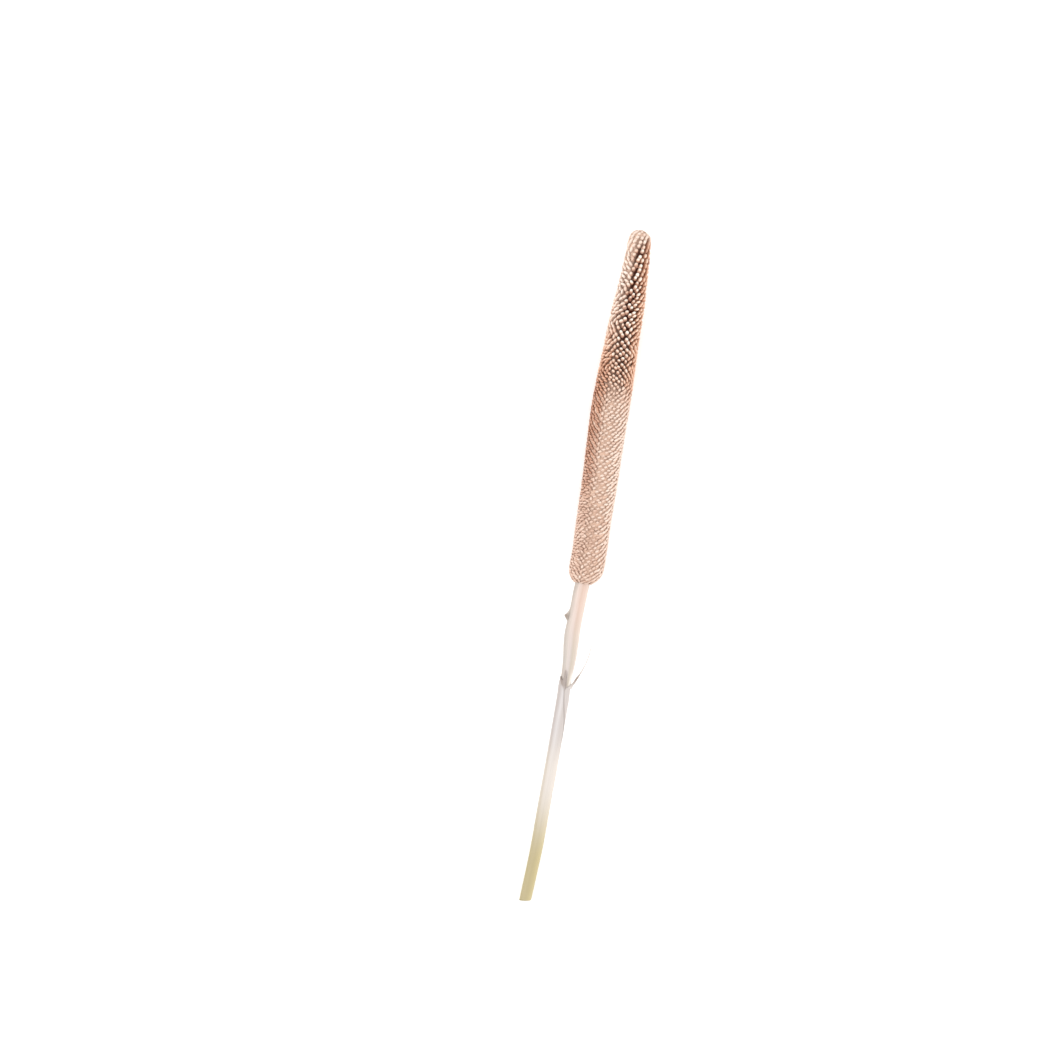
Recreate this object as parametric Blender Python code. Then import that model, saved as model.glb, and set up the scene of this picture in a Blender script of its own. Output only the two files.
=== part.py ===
"""Dried pearl millet stalk, cut and lying on its side.

The stalk lies along Y: the blunt tip of the seed head points to +Y and the cut end of the stem to -Y.
+Z is up, the surface it lies on is at Z = 0, and the origin is below the middle of its box.
It has three pieces: the seed head, the stem that carries it, and a dry leaf sheath rolled round the
stem's lower part, whose torn rim keeps two teeth and a thin strip of the blade.
All lengths are in metres. "Reach" is the distance from the tip of the head, measured along -Y.
"""

from math import cos, pi, radians, sin, sqrt, tan

import bmesh
import bpy
import numpy as np
from mathutils import Vector

# Whole stalk
STALK_LENGTH = 0.409
CUT_SLANT = radians(9.8)
TIP_Y = 0.2048
AXIS_X = -0.0010
SIDEWAYS_BEND = (
    (0.000, 0.0000), (0.015, 0.0006), (0.035, 0.0006), (0.060, 0.0002), (0.100, 0.0000),
    (0.128, 0.0005), (0.150, 0.0013), (0.175, 0.0017), (0.196, 0.0024), (0.206, 0.0023),
    (0.219, 0.0012), (0.230, 0.0009), (0.244, 0.0005), (0.252, 0.0009), (0.262, 0.0016),
    (0.290, 0.0016), (0.320, 0.0017), (0.350, 0.0015), (0.376, 0.0014), (0.392, 0.0008),
    (0.409, 0.0000),
)

# Seed head, measured over the tips of its grains
HEAD_LENGTH = 0.2165
HEAD_WIDTHS = (
    (0.000, 0.0130), (0.015, 0.0152), (0.032, 0.0172), (0.047, 0.0196), (0.070, 0.0209),
    (0.094, 0.0226), (0.107, 0.0231), (0.127, 0.0225), (0.150, 0.0218), (0.175, 0.0211),
    (0.195, 0.0210), (0.206, 0.0210), (0.217, 0.0206),
)
TIP_DOME = 0.0055
BASE_DOME = 0.0110
GRAIN_ROWS = 110
GRAIN_SPACING = 0.00415
GRAIN_DEPTH = 0.00095
GRAIN_DEPTH_FULL_RADIUS = 0.008
FEWEST_GRAINS = 5
FIRST_ROW_RADIUS = 0.0022
LAST_ROW_RADIUS = 0.0056
FIRST_TURN = pi / 2
OUTLINE_SAMPLES = 2001
LINE_DRIFT = 0.09
LINE_DRIFT_LENGTH = 0.027
LINE_WAVE = 0.05
LINE_WAVE_LENGTH = 0.017

# How the head lies: its underside is pressed flat along the stretch that touches the surface
REST_FROM = 0.107
REST_TO = 0.200
PRESSED_FLAT = 0.0003

# Stem
STEM_SIDES = 14
STEM_WIDTHS = (
    (0.206, 0.0084), (0.216, 0.0086), (0.228, 0.0085), (0.240, 0.0088), (0.248, 0.0090),
    (0.254, 0.0087), (0.260, 0.0080), (0.266, 0.0073), (0.272, 0.0064), (0.279, 0.0056),
    (0.290, 0.0054), (0.350, 0.0054), (0.409, 0.0049),
)
STEM_REACHES = (
    0.2084, 0.2160, 0.2220, 0.2280, 0.2325, 0.2345, 0.2358, 0.2385, 0.2430, 0.2500,
    0.2560, 0.2620, 0.2680, 0.2740, 0.2800, 0.2950, 0.3200, 0.3500, 0.3800, 0.4000,
)
SOCKET_BOTTOM = 0.2080
SOCKET_GAP = 0.0003
BUD_SIDE = 3
BUD_HEIGHTS = {0.2325: 0.0006, 0.2345: 0.0015, 0.2358: 0.0024}

# Leaf sheath: one leaf rolled round the stem, one margin lapping over the other
SHEATH_MOUTH = 0.278
SHEATH_REACHES = (0.2815, 0.2860, 0.2920, 0.3000, 0.3120, 0.3300, 0.3500, 0.3700, 0.3880, 0.4020)
SHEATH_GAP = 0.0003
SHEATH_WALL = 0.00035
SHEATH_LAP_RISE = 0.0006
SHEATH_COLUMNS = 16
INNER_MARGIN = radians(-45)
OUTER_MARGIN = radians(90)
MARGIN_TURN = radians(-100)
MARGIN_TURN_LENGTH = 0.050
RIM_RISE = (
    0.0, 0.0004, 0.0, -0.0004, 0.0008, 0.0100, 0.0020, 0.0055, 0.0,
    -0.0010, 0.0, -0.0005, 0.0, 0.0005, 0.0010, -0.0005, -0.0015,
)
RIM_FLARE = {5: 0.0003, 7: 0.0006}

# Torn strip of the blade: it leaves the rim and curves away from the stem towards the head
STRIP_COLUMN = 14
STRIP_STATIONS = 9
STRIP_START = 0.2758
STRIP_END = 0.2510
STRIP_ACROSS = (
    (0.2510, 0.0124), (0.2560, 0.0116), (0.2620, 0.0101), (0.2675, 0.0082), (0.2714, 0.0062),
    (0.2758, 0.0043),
)
STRIP_UP_AT_RIM = 0.0018
STRIP_UP_AT_END = 0.0022
STRIP_WIDTH_AT_RIM = 0.0012
STRIP_WIDTH_AT_END = 0.0003
STRIP_THICKNESS = 0.00035
STRIP_TILT = 0.8
STRIP_TWIST = radians(60)

# Colours: base colour, roughness
SEED_LOOK = ((0.62, 0.42, 0.30, 1.0), 0.75)
STEM_LOOK = ((0.78, 0.68, 0.56, 1.0), 0.60)
SHEATH_LOOK = ((0.74, 0.69, 0.55, 1.0), 0.65)
SMOOTH_UP_TO = radians(40)


def smooth_value(points, at):
    """A smooth curve through the points, read at one place; the curve ends flat beyond them."""
    if at <= points[0][0]:
        return points[0][1]
    if at >= points[-1][0]:
        return points[-1][1]
    i = max(k for k in range(len(points) - 1) if points[k][0] <= at)
    before, start, end, after = (points[min(max(k, 0), len(points) - 1)] for k in range(i - 1, i + 3))
    span = end[0] - start[0]
    t = (at - start[0]) / span
    slope_start = (end[1] - before[1]) / (end[0] - before[0]) * span
    slope_end = (after[1] - start[1]) / (after[0] - start[0]) * span
    return (
        (2 * t**3 - 3 * t**2 + 1) * start[1]
        + (t**3 - 2 * t**2 + t) * slope_start
        + (3 * t**2 - 2 * t**3) * end[1]
        + (t**3 - t**2) * slope_end
    )


def dome(distance, depth):
    """The share of its full radius that a round end has at this distance from its pole."""
    if distance >= depth:
        return 1.0
    return sqrt(max(0.0, 1 - (1 - distance / depth) ** 2))


def head_radius(reach):
    body = smooth_value(HEAD_WIDTHS, reach) / 2
    return body * dome(reach, TIP_DOME) * dome(HEAD_LENGTH - reach, BASE_DOME)


def stem_radius(reach):
    return smooth_value(STEM_WIDTHS, reach) / 2


def sheath_rise(wrap):
    """How far the rolled leaf's inner face stands off the stem, this far round from its inner margin."""
    return SHEATH_GAP + SHEATH_LAP_RISE * wrap / (2 * pi)


def sheath_wrap(reach):
    """How far round the leaf goes, from its inner to its outer margin; it laps less below the mouth."""
    t = min(max((reach - SHEATH_MOUTH) / MARGIN_TURN_LENGTH, 0.0), 1.0)
    return 2 * pi + OUTER_MARGIN - INNER_MARGIN + MARGIN_TURN * t * t * (3 - 2 * t)


def axis_height(reach):
    """Height of the stalk's axis: straight through the head, then sagging until the cut end lies down."""
    top = head_radius(REST_FROM) - PRESSED_FLAT
    fall = (head_radius(REST_FROM) - head_radius(REST_TO)) / (REST_TO - REST_FROM)
    straight = top - fall * (reach - REST_FROM)
    if reach <= HEAD_LENGTH:
        return straight
    underside_wrap = 1.5 * pi - INNER_MARGIN
    end_height = stem_radius(STALK_LENGTH) + sheath_rise(underside_wrap) + SHEATH_WALL
    sag = top - fall * (STALK_LENGTH - REST_FROM) - end_height
    return straight - sag * ((reach - HEAD_LENGTH) / (STALK_LENGTH - HEAD_LENGTH)) ** 2


def place(reach, radius, angle):
    """A point at this reach, this far from the stalk's axis; angle 0 is +X and 90 degrees is up."""
    across = AXIS_X + smooth_value(SIDEWAYS_BEND, reach) + radius * cos(angle)
    up = axis_height(reach) + radius * sin(angle)
    return Vector((across, TIP_Y - reach, max(up, 0.0)))


def cut_reach(radius, angle):
    """Where the slanting cut meets a line along the stalk."""
    return STALK_LENGTH - tan(CUT_SLANT) * radius * cos(angle)


def row_reaches():
    """Rows of grains, evenly spaced along the head's outline from near its tip to near its base."""
    turn = np.linspace(0.0, pi, OUTLINE_SAMPLES)
    reach = HEAD_LENGTH * (1 - np.cos(turn)) / 2
    radius = np.array([head_radius(value) for value in reach])
    along = np.concatenate([[0.0], np.cumsum(np.hypot(np.diff(reach), np.diff(radius)))])
    wide = np.flatnonzero(radius > FIRST_ROW_RADIUS)[0]
    last = np.flatnonzero(radius > LAST_ROW_RADIUS)[-1]
    rows = np.linspace(along[wide], along[last], GRAIN_ROWS)
    return [float(value) for value in np.interp(rows, along, reach)]


def even_turns(count):
    return [FIRST_TURN + 2 * pi * k / count for k in range(count)]


def grain_angle(turn, reach):
    """The grains' lines wander a little to either side as they run down the head."""
    drift = LINE_DRIFT * sin(reach / LINE_DRIFT_LENGTH)
    wave = LINE_WAVE * sin(2 * turn + reach / LINE_WAVE_LENGTH)
    return turn + drift + wave


def grain_row(bm, reach, row):
    """A row of grain tips and the pits between them; the next row is half a grain round from it."""
    radius = head_radius(reach)
    count = max(round(2 * pi * radius / GRAIN_SPACING), FEWEST_GRAINS)
    depth = GRAIN_DEPTH * min(1.0, radius / GRAIN_DEPTH_FULL_RADIUS)
    verts = []
    for k, turn in enumerate(even_turns(2 * count)):
        pit = (k + row) % 2
        verts.append(bm.verts.new(place(reach, radius - depth * pit, grain_angle(turn, reach))))
    return verts


def join_grain_rows(bm, upper, lower, row):
    """Each grain is a low pyramid, its foot in the four pits around it.

    Where one row has more grains than the next, its spare ones close up at the underside.
    """
    steps = min(len(upper), len(lower))
    half = steps // 2
    spare_upper = len(upper) - steps
    spare_lower = len(lower) - steps
    for i in range(half, half + spare_upper):
        bm.faces.new((upper[i], lower[half], upper[i + 1]))
    for j in range(half, half + spare_lower):
        bm.faces.new((upper[half], lower[j], lower[j + 1]))
    for k in range(steps):
        i = k + (spare_upper if k >= half else 0)
        j = k + (spare_lower if k >= half else 0)
        a, b = upper[i], upper[(i + 1) % len(upper)]
        c, d = lower[j], lower[(j + 1) % len(lower)]
        if (i + row) % 2:
            bm.faces.new((a, d, b))
            bm.faces.new((a, c, d))
        else:
            bm.faces.new((a, c, b))
            bm.faces.new((b, c, d))


def join_unlike_rings(bm, upper, lower):
    """Two rings of evenly spaced points whose counts differ, joined by triangles in step with both."""
    i = j = 0
    while i < len(upper) or j < len(lower):
        a, c = upper[i % len(upper)], lower[j % len(lower)]
        if (i + 1) * len(lower) <= (j + 1) * len(upper):
            i += 1
            bm.faces.new((a, c, upper[i % len(upper)]))
        else:
            j += 1
            bm.faces.new((a, c, lower[j % len(lower)]))


def join_rings(bm, upper, lower):
    count = len(upper)
    for k in range(count):
        bm.faces.new((upper[k], lower[k], lower[(k + 1) % count], upper[(k + 1) % count]))


def finished_object(bm, name, look):
    """Turns the mesh's faces outwards and gives it an object and a material of its own."""
    bmesh.ops.recalc_face_normals(bm, faces=bm.faces)
    mesh = bpy.data.meshes.new(name)
    bm.to_mesh(mesh)
    bm.free()
    colour, roughness = look
    material = bpy.data.materials.new(name)
    material.use_nodes = True
    shader = material.node_tree.nodes["Principled BSDF"]
    shader.inputs["Base Color"].default_value = colour
    shader.inputs["Roughness"].default_value = roughness
    shader.inputs["Metallic"].default_value = 0.0
    mesh.materials.append(material)
    piece = bpy.data.objects.new(name, mesh)
    bpy.context.scene.collection.objects.link(piece)
    return piece


def make_seed_head():
    """A closed cigar of grains with a blind socket in its base for the stem."""
    bm = bmesh.new()
    tip = bm.verts.new(place(0.0, 0.0, 0.0))
    reaches = row_reaches()
    rows = [grain_row(bm, reach, row) for row, reach in enumerate(reaches)]
    for k in range(len(rows[0])):
        bm.faces.new((tip, rows[0][k], rows[0][(k + 1) % len(rows[0])]))
    for row, (upper, lower) in enumerate(zip(rows, rows[1:])):
        join_grain_rows(bm, upper, lower, row)
    socket = []
    for reach in (reaches[-1] + SOCKET_GAP, SOCKET_BOTTOM):
        radius = stem_radius(reach) + SOCKET_GAP / cos(pi / STEM_SIDES)
        socket.append([bm.verts.new(place(reach, radius, turn)) for turn in even_turns(STEM_SIDES)])
    join_unlike_rings(bm, rows[-1], socket[0])
    join_rings(bm, socket[0], socket[1])
    bm.faces.new(socket[1])
    piece = finished_object(bm, "seed_head", SEED_LOOK)
    piece.data.shade_flat()
    return piece


def make_stem():
    """The straw stem from inside the head to the cut, with a dry bud standing out of one side."""
    bm = bmesh.new()
    rings = []
    for reach in STEM_REACHES:
        ring = []
        for side, turn in enumerate(even_turns(STEM_SIDES)):
            bud = BUD_HEIGHTS.get(reach, 0.0) if side == BUD_SIDE else 0.0
            ring.append(bm.verts.new(place(reach, stem_radius(reach) + bud, turn)))
        rings.append(ring)
    radius = stem_radius(STALK_LENGTH)
    cut = [place(cut_reach(radius, turn), radius, turn) for turn in even_turns(STEM_SIDES)]
    rings.append([bm.verts.new(point) for point in cut])
    bm.faces.new(rings[0])
    for upper, lower in zip(rings, rings[1:]):
        join_rings(bm, upper, lower)
    bm.faces.new(rings[-1])
    piece = finished_object(bm, "stem", STEM_LOOK)
    piece.data.shade_smooth()
    piece.data.set_sharp_from_angle(angle=SMOOTH_UP_TO)
    return piece


def sheath_row(bm, reach, rises=None, cut=False):
    """One row of the rolled leaf: its inner and its outer edge points, from inner to outer margin."""
    inner, outer = [], []
    for k in range(SHEATH_COLUMNS + 1):
        here = reach - (rises[k] if rises else 0.0)
        wrap = sheath_wrap(here) * k / SHEATH_COLUMNS
        angle = INNER_MARGIN + wrap
        flare = RIM_FLARE.get(k, 0.0) if rises else 0.0
        for side, thickness in ((inner, 0.0), (outer, SHEATH_WALL)):
            radius = stem_radius(here) + sheath_rise(wrap) + thickness + flare
            at = cut_reach(radius, angle) if cut else here
            side.append(bm.verts.new(place(at, radius, angle)))
    return inner, outer


def add_torn_strip(bm, rim):
    """A thin strip of blade that grows out of the rim and curves away to the side."""
    inner, outer = rim
    k = STRIP_COLUMN
    ring = [inner[k], outer[k], outer[k + 1], inner[k + 1]]
    for i in range(STRIP_STATIONS):
        share = i / (STRIP_STATIONS - 1)
        reach = STRIP_START + (STRIP_END - STRIP_START) * share
        up = STRIP_UP_AT_RIM + (STRIP_UP_AT_END - STRIP_UP_AT_RIM) * share
        half_width = (STRIP_WIDTH_AT_RIM + (STRIP_WIDTH_AT_END - STRIP_WIDTH_AT_RIM) * share) / 2
        half_thick = STRIP_THICKNESS / 2
        twist = STRIP_TWIST * share
        broad = Vector((-cos(twist) * STRIP_TILT, 0.0, 1.0)).normalized()
        facing = Vector((1.0, 0.0, cos(twist) * STRIP_TILT)).normalized()
        centre = place(reach, smooth_value(STRIP_ACROSS, reach), 0.0) + Vector((0.0, 0.0, up))
        corners = ((-1, -1), (-1, 1), (1, 1), (1, -1))
        new_ring = [
            bm.verts.new(centre + broad * half_width * w + facing * half_thick * f) for w, f in corners
        ]
        join_rings(bm, ring, new_ring)
        ring = new_ring
    bm.faces.new(ring)


def make_leaf_sheath():
    """The sheath's two faces, its margins, its torn rim and its cut end, as one thin closed solid."""
    bm = bmesh.new()
    rows = [sheath_row(bm, SHEATH_MOUTH, RIM_RISE)]
    rows += [sheath_row(bm, reach) for reach in SHEATH_REACHES]
    rows.append(sheath_row(bm, STALK_LENGTH, cut=True))
    for (inner_a, outer_a), (inner_b, outer_b) in zip(rows, rows[1:]):
        for k in range(SHEATH_COLUMNS):
            bm.faces.new((outer_a[k], outer_b[k], outer_b[k + 1], outer_a[k + 1]))
            bm.faces.new((inner_a[k + 1], inner_b[k + 1], inner_b[k], inner_a[k]))
        for k in (0, SHEATH_COLUMNS):
            bm.faces.new((inner_a[k], inner_b[k], outer_b[k], outer_a[k]))
    for inner, outer in (rows[0], rows[-1]):
        for k in range(SHEATH_COLUMNS):
            if (inner, outer) != rows[0] or k != STRIP_COLUMN:
                bm.faces.new((inner[k], outer[k], outer[k + 1], inner[k + 1]))
    add_torn_strip(bm, rows[0])
    piece = finished_object(bm, "leaf_sheath", SHEATH_LOOK)
    piece.data.shade_smooth()
    piece.data.set_sharp_from_angle(angle=SMOOTH_UP_TO)
    return piece


def main():
    for old in list(bpy.data.objects):
        bpy.data.objects.remove(old, do_unlink=True)
    make_seed_head()
    make_stem()
    make_leaf_sheath()


main()
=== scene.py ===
"""The looks of a dried pearl millet stalk that lies on a pale floor, seen from straight above.

All lengths are in metres. "Reach" is the distance from the tip of the seed head, measured along -Y, and
an angle is measured round the stalk's axis from +X towards +Z.
"""

from math import pi, radians, sin, tan

import bpy
import numpy as np
from mathutils import Matrix, Vector


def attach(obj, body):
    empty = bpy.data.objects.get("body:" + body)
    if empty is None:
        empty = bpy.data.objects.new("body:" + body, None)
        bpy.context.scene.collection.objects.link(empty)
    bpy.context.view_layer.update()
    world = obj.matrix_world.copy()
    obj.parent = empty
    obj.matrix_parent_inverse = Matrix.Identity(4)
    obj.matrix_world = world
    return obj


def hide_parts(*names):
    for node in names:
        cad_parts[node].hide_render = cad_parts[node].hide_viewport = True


# The stalk's own measures, the same as in the model of its solids
STALK_LENGTH = 0.409
CUT_SLANT = radians(9.8)
TIP_Y = 0.2048
AXIS_X = -0.0010
SIDEWAYS_BEND = (
    (0.000, 0.0000), (0.015, 0.0006), (0.035, 0.0006), (0.060, 0.0002), (0.100, 0.0000),
    (0.128, 0.0005), (0.150, 0.0013), (0.175, 0.0017), (0.196, 0.0024), (0.206, 0.0023),
    (0.219, 0.0012), (0.230, 0.0009), (0.244, 0.0005), (0.252, 0.0009), (0.262, 0.0016),
    (0.290, 0.0016), (0.320, 0.0017), (0.350, 0.0015), (0.376, 0.0014), (0.392, 0.0008),
    (0.409, 0.0000),
)
HEAD_LENGTH = 0.2165
HEAD_WIDTHS = (
    (0.000, 0.0130), (0.015, 0.0152), (0.032, 0.0172), (0.047, 0.0196), (0.070, 0.0209),
    (0.094, 0.0226), (0.107, 0.0231), (0.127, 0.0225), (0.150, 0.0218), (0.175, 0.0211),
    (0.195, 0.0210), (0.206, 0.0210), (0.217, 0.0206),
)
TIP_DOME = 0.0055
BASE_DOME = 0.0110
REST_FROM = 0.107
REST_TO = 0.200
PRESSED_FLAT = 0.0003
SLOPE_STEP = 0.0002
STEEPEST = 4.0
TIP_SLOPE = 40.0
STEM_WIDTHS = (
    (0.206, 0.0084), (0.216, 0.0086), (0.228, 0.0085), (0.240, 0.0088), (0.248, 0.0090),
    (0.254, 0.0087), (0.260, 0.0080), (0.266, 0.0073), (0.272, 0.0064), (0.279, 0.0056),
    (0.290, 0.0054), (0.350, 0.0054), (0.409, 0.0049),
)

# Along the reach: how far apart the rows of grains are, how far apart the grains in a row, and how much
# of that distance each row is shifted to the left against the row above it
ROW_DISTANCES = (
    (0.000, 0.0021), (0.008, 0.0026), (0.024, 0.0028), (0.036, 0.0023), (0.050, 0.0021),
    (0.070, 0.0020), (0.088, 0.0017), (0.2165, 0.0017),
)
GRAIN_DISTANCES = (
    (0.000, 0.0031), (0.008, 0.0037), (0.024, 0.0039), (0.050, 0.0040), (0.070, 0.0040),
    (0.088, 0.0037), (0.2165, 0.0038),
)
ROW_SHIFTS = (
    (0.000, 0.44), (0.008, 0.28), (0.024, 0.23), (0.036, 0.42), (0.046, 0.50), (0.060, 0.58),
    (0.072, 0.46), (0.085, 0.52), (0.2165, 0.52),
)
FEWEST_GRAINS = 5
FIRST_ROW_RADIUS = 0.0022
LAST_ROW_RADIUS = 0.0056
FIRST_TURN = pi / 2
OUTLINE_SAMPLES = 2001
LINE_DRIFT = 0.09
LINE_DRIFT_LENGTH = 0.027
LINE_WAVE = 0.05
LINE_WAVE_LENGTH = 0.017

# One grain, from its crown down into its husk: depth, radius, and how much of the crown's colour it has.
# The crown's near-white colour is partly a painted highlight, and the dark brown down the flanks partly
# painted shade
GRAIN_PROFILE = (
    (0.00008, 0.00040, 0.97), (0.00032, 0.00070, 0.84), (0.00078, 0.00092, 0.60),
    (0.00145, 0.00100, 0.42), (0.00235, 0.00088, 0.24), (0.00350, 0.00055, 0.05),
)
GRAIN_SIDES = 10
HEAD_SEED = 11
GRAIN_NARROW = 0.86
GRAIN_LONG = 1.12
GRAIN_PITCH = 0.00295
GRAIN_SIZE_VARIES = 0.10
GRAIN_PLACE_VARIES = 0.00027
GRAIN_INSIDE_HEAD = 0.0003
GRAIN_LEAN = radians(38)
GRAIN_LEAN_VARIES = radians(8)
GRAIN_SWING_VARIES = 0.08
GRAIN_TONE_VARIES = 0.45
GRAIN_TINT_VARIES = 0.06
GRAIN_HALVES_MEET = 0.1
# Along the reach, where the grains start to lean and over how much, and the same for the end
GRAIN_LEANS = (-0.004, 0.02, HEAD_LENGTH, 0.02)

# How much a grain is narrowed and lengthened where the grains of its line are far apart
LINE_NARROWING = 0.45
LINE_LENGTHENING = 0.50

# The head's flanks: where they start, as the cosine of the angle, and over how much. A grain there is
# longer, thinner and more upright.
FLANK_FROM = 0.22
FLANK_OVER = 0.45
SIDE_STRETCH = 0.50
SIDE_STRETCH_VARIES = (0.6, 1.3)
SIDE_THINNING = 0.10
SIDE_UPRIGHT = 0.72

# A grain that is soft in contrast is flatter, longer and larger, and its husk stands further out
SOFT_FLATNESS = 0.50
SOFT_STRETCH = 0.22
SOFT_GROWTH = 0.06
SOFT_HUSK_STANDS = 0.0006
SOFT_SHARE = 0.85
SWAY_VARIES = 0.14

# Where the values below change, to the left of the middle and to its right: where they start to, as the
# cosine of the angle, and over how much
SWAY_ZONES = (0.10, 0.55, 0.10, 0.55)
TINT_ZONES = (0.15, 0.55, 0.30, 0.50)
SOFT_ZONES = (-0.02, 0.50, 0.30, 0.50)

# Along the reach, on the stalk's left, its middle and its right: which of the two lines through it a
# grain lies along, -1 for the one that rises to the left and 1 for the one that rises to the right. A
# value past these turns it further.
SWAY = (
    ((0.010, 1.0), (0.018, -1.0), (0.035, -1.2), (0.042, 0.9), (0.054, 1.1), (0.061, -1.0),
     (0.069, 1.1), (0.083, 1.1), (0.089, -1.3), (0.110, -1.2), (0.130, -1.4), (0.150, -1.8),
     (0.165, -2.1), (0.185, -2.4), (0.200, -1.7), (0.2165, -1.3)),
    ((0.005, 1.0), (0.027, 1.0), (0.032, -1.0), (0.038, 0.9), (0.056, 1.0), (0.061, -1.0),
     (0.092, -1.0), (0.102, 1.0), (0.2165, 1.0)),
    ((0.000, 1.0), (0.066, 1.0), (0.072, -1.0), (0.079, 1.0), (0.088, -0.6), (0.096, 1.0),
     (0.2165, 1.0)),
)
# The same for how peach its colour is, partly painted warm light on the right flank; how pale, partly
# painted light on the left flank where the light falls; how much darker, as painted shade; and how soft
# in contrast
PEACH_AND_PAINTED_WARM_LIGHT = (
    ((0.004, 0.05), (0.030, 0.10), (0.055, 0.35), (0.075, 0.75), (0.100, 1.00), (0.130, 0.90),
     (0.180, 0.35), (0.2165, 0.35)),
    ((0.004, 0.10), (0.060, 0.10), (0.090, 0.35), (0.2165, 0.40)),
    ((0.004, 0.30), (0.015, 0.75), (0.090, 0.90), (0.2165, 0.70)),
)
PALE_AND_PAINTED_LIGHT = (
    ((0.004, 1.00), (0.032, 0.95), (0.050, 0.60), (0.066, 0.25), (0.090, 0.00), (0.110, 0.10),
     (0.125, 0.15), (0.150, 0.30), (0.180, 0.80), (0.2165, 0.80)),
    ((0.004, 1.00), (0.010, 0.50), (0.018, 0.20), (0.036, 0.18), (0.050, 0.28), (0.075, 0.24),
     (0.088, 0.18), (0.110, 0.90), (0.2165, 0.95)),
    ((0.004, 0.90), (0.010, 0.05), (0.090, 0.00), (0.110, 0.90), (0.2165, 0.90)),
)
PAINTED_SHADE = (
    ((0.040, 0.00), (0.070, 0.08), (0.085, 0.18), (0.100, 0.26), (0.125, 0.26), (0.150, 0.22),
     (0.180, 0.22), (0.2165, 0.22)),
    ((0.090, 0.00), (0.110, 0.02), (0.150, 0.07), (0.180, 0.17), (0.2165, 0.19)),
    ((0.004, 0.00), (0.010, 0.22), (0.030, 0.20), (0.045, 0.08), (0.060, 0.00), (0.100, 0.00),
     (0.160, 0.00), (0.180, 0.04), (0.2165, 0.07)),
)
SOFT = (
    ((0.003, 1.00), (0.010, 0.95), (0.022, 0.90), (0.036, 0.65), (0.055, 0.55), (0.075, 0.55),
     (0.090, 0.70), (0.106, 1.00), (0.2165, 1.00)),
    ((0.004, 1.00), (0.009, 0.60), (0.016, 0.12), (0.055, 0.05), (0.070, 0.18), (0.088, 0.40),
     (0.104, 1.00), (0.2165, 1.00)),
    ((0.003, 1.00), (0.010, 0.45), (0.022, 0.25), (0.055, 0.35), (0.085, 0.60), (0.104, 1.00),
     (0.2165, 1.00)),
)

# The husk round each grain: depth, radius, and how much of the rim's colour it has; it darkens from the
# rim down into the gap, partly its brown colour and partly painted shade
HUSK_SIDES = 8
HUSK_BOTTOM = (0.0036, 0.00060, 0.0)
HUSK_MIDDLE = (0.0029, 0.00106, 0.4)
HUSK_INSIDE = (0.0027, 0.00090, 0.3)
HUSK_RIM_DEPTH = 0.00215
HUSK_RIM_RADIUS = 0.00120
HUSK_LOBE_RISE = 0.00070
HUSK_LOBE_FLARE = 0.00004
HUSK_LOBE_SHARPNESS = 1.5
HUSK_WALL = 0.00008

# Bristles between the grains
BRISTLES_PER_GRAIN = 3
BRISTLE_RADIUS = 0.000045
BRISTLE_ROOT = -0.0028
BRISTLE_TIP = -0.0004
BRISTLE_TIP_VARIES = 0.0004
BRISTLE_TIP_RANGE = (-0.0012, 0.0003)
BRISTLE_BESIDE = (0.0007, 0.0013)
BRISTLE_LEAN_VARIES = 0.2
BRISTLE_SWING_VARIES = 0.25
BRISTLE_REACHES = (0.001, 0.2150)

# The core below them
CORE_DEPTH = 0.0029
CORE_LEAST_RADIUS = 0.0006
CORE_REACHES = (0.0018, 0.2135)
SOFT_CORE_STANDS = 0.0018
SOFT_CORE_SHARPNESS = 1.5
CORE_SIDES = 40
CORE_RINGS = 110

# Stem
STEM_TOP = 0.2070
STEM_SIDES = 72
STEM_RINGS = 170
STEM_RIBS = 17
STEM_RIB_HEIGHT = 0.00009
STEM_FINE_RIBS = 41
STEM_FINE_RIB_HEIGHT = 0.00003
STEM_RIB_WANDER = 0.5
STEM_RIB_WANDER_LENGTH = 0.02
STEM_SWELL_IN_SHEATH = 0.0005
STEM_SMOOTHER_IN_SHEATH = 0.6
STEM_SWELLS_FROM = 0.269
STEM_SWELLS_OVER = 0.009
# How far each wave of its dried surface stands out, how many go round it, and how long one is along it
STEM_WAVES = ((0.00006, 3, 0.011), (0.00005, 2, 0.0043))

# Cut face
CUT_RINGS = 14
CUT_MIDDLE = 0.06
CUT_STANDS = 0.00003
CUT_BACK_DEPTH = 0.0004
CUT_EVEN_FROM = 0.97
# How far each wave of its unevenness stands out, how many go round it, and how they turn towards its rim
CUT_WAVES = ((0.00006, 3, 5200), (0.00005, 9, 9000))

# Bud on the stem's left side: how far it stands out of the stem along the reach
BUD_ANGLE = radians(168)
BUD_STANDS = (
    (0.2300, -0.0002), (0.2315, 0.0003), (0.2332, 0.0009), (0.2347, 0.0018), (0.2357, 0.0026),
    (0.2366, 0.0019), (0.2378, 0.0008), (0.2390, -0.0002),
)
BUD_HALF_WIDTHS = ((0.2300, 0.0004), (0.2330, 0.0012), (0.2360, 0.0014), (0.2390, 0.0008))
BUD_ROOT_DEPTH = 0.0006
BUD_EDGE_DEPTH = 0.00025
BUD_ROUNDNESS = 0.7
BUD_CREASE_PLACE = 0.25
BUD_CREASE_WIDTH = 0.12
BUD_CREASE_DEPTH = 0.00012
BUD_CREASE_FROM = 0.0002
BUD_POINT = 0.0003
# How dark it is: at least this much, and fully where it stands this far out, from this reach on
BUD_LEAST_DARK = 0.25
BUD_DARK_STANDS = 0.0018
BUD_DARK_FROM = 0.2330
BUD_DARK_OVER = 0.0025
BUD_ROWS = 36
BUD_COLUMNS = 17

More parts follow.
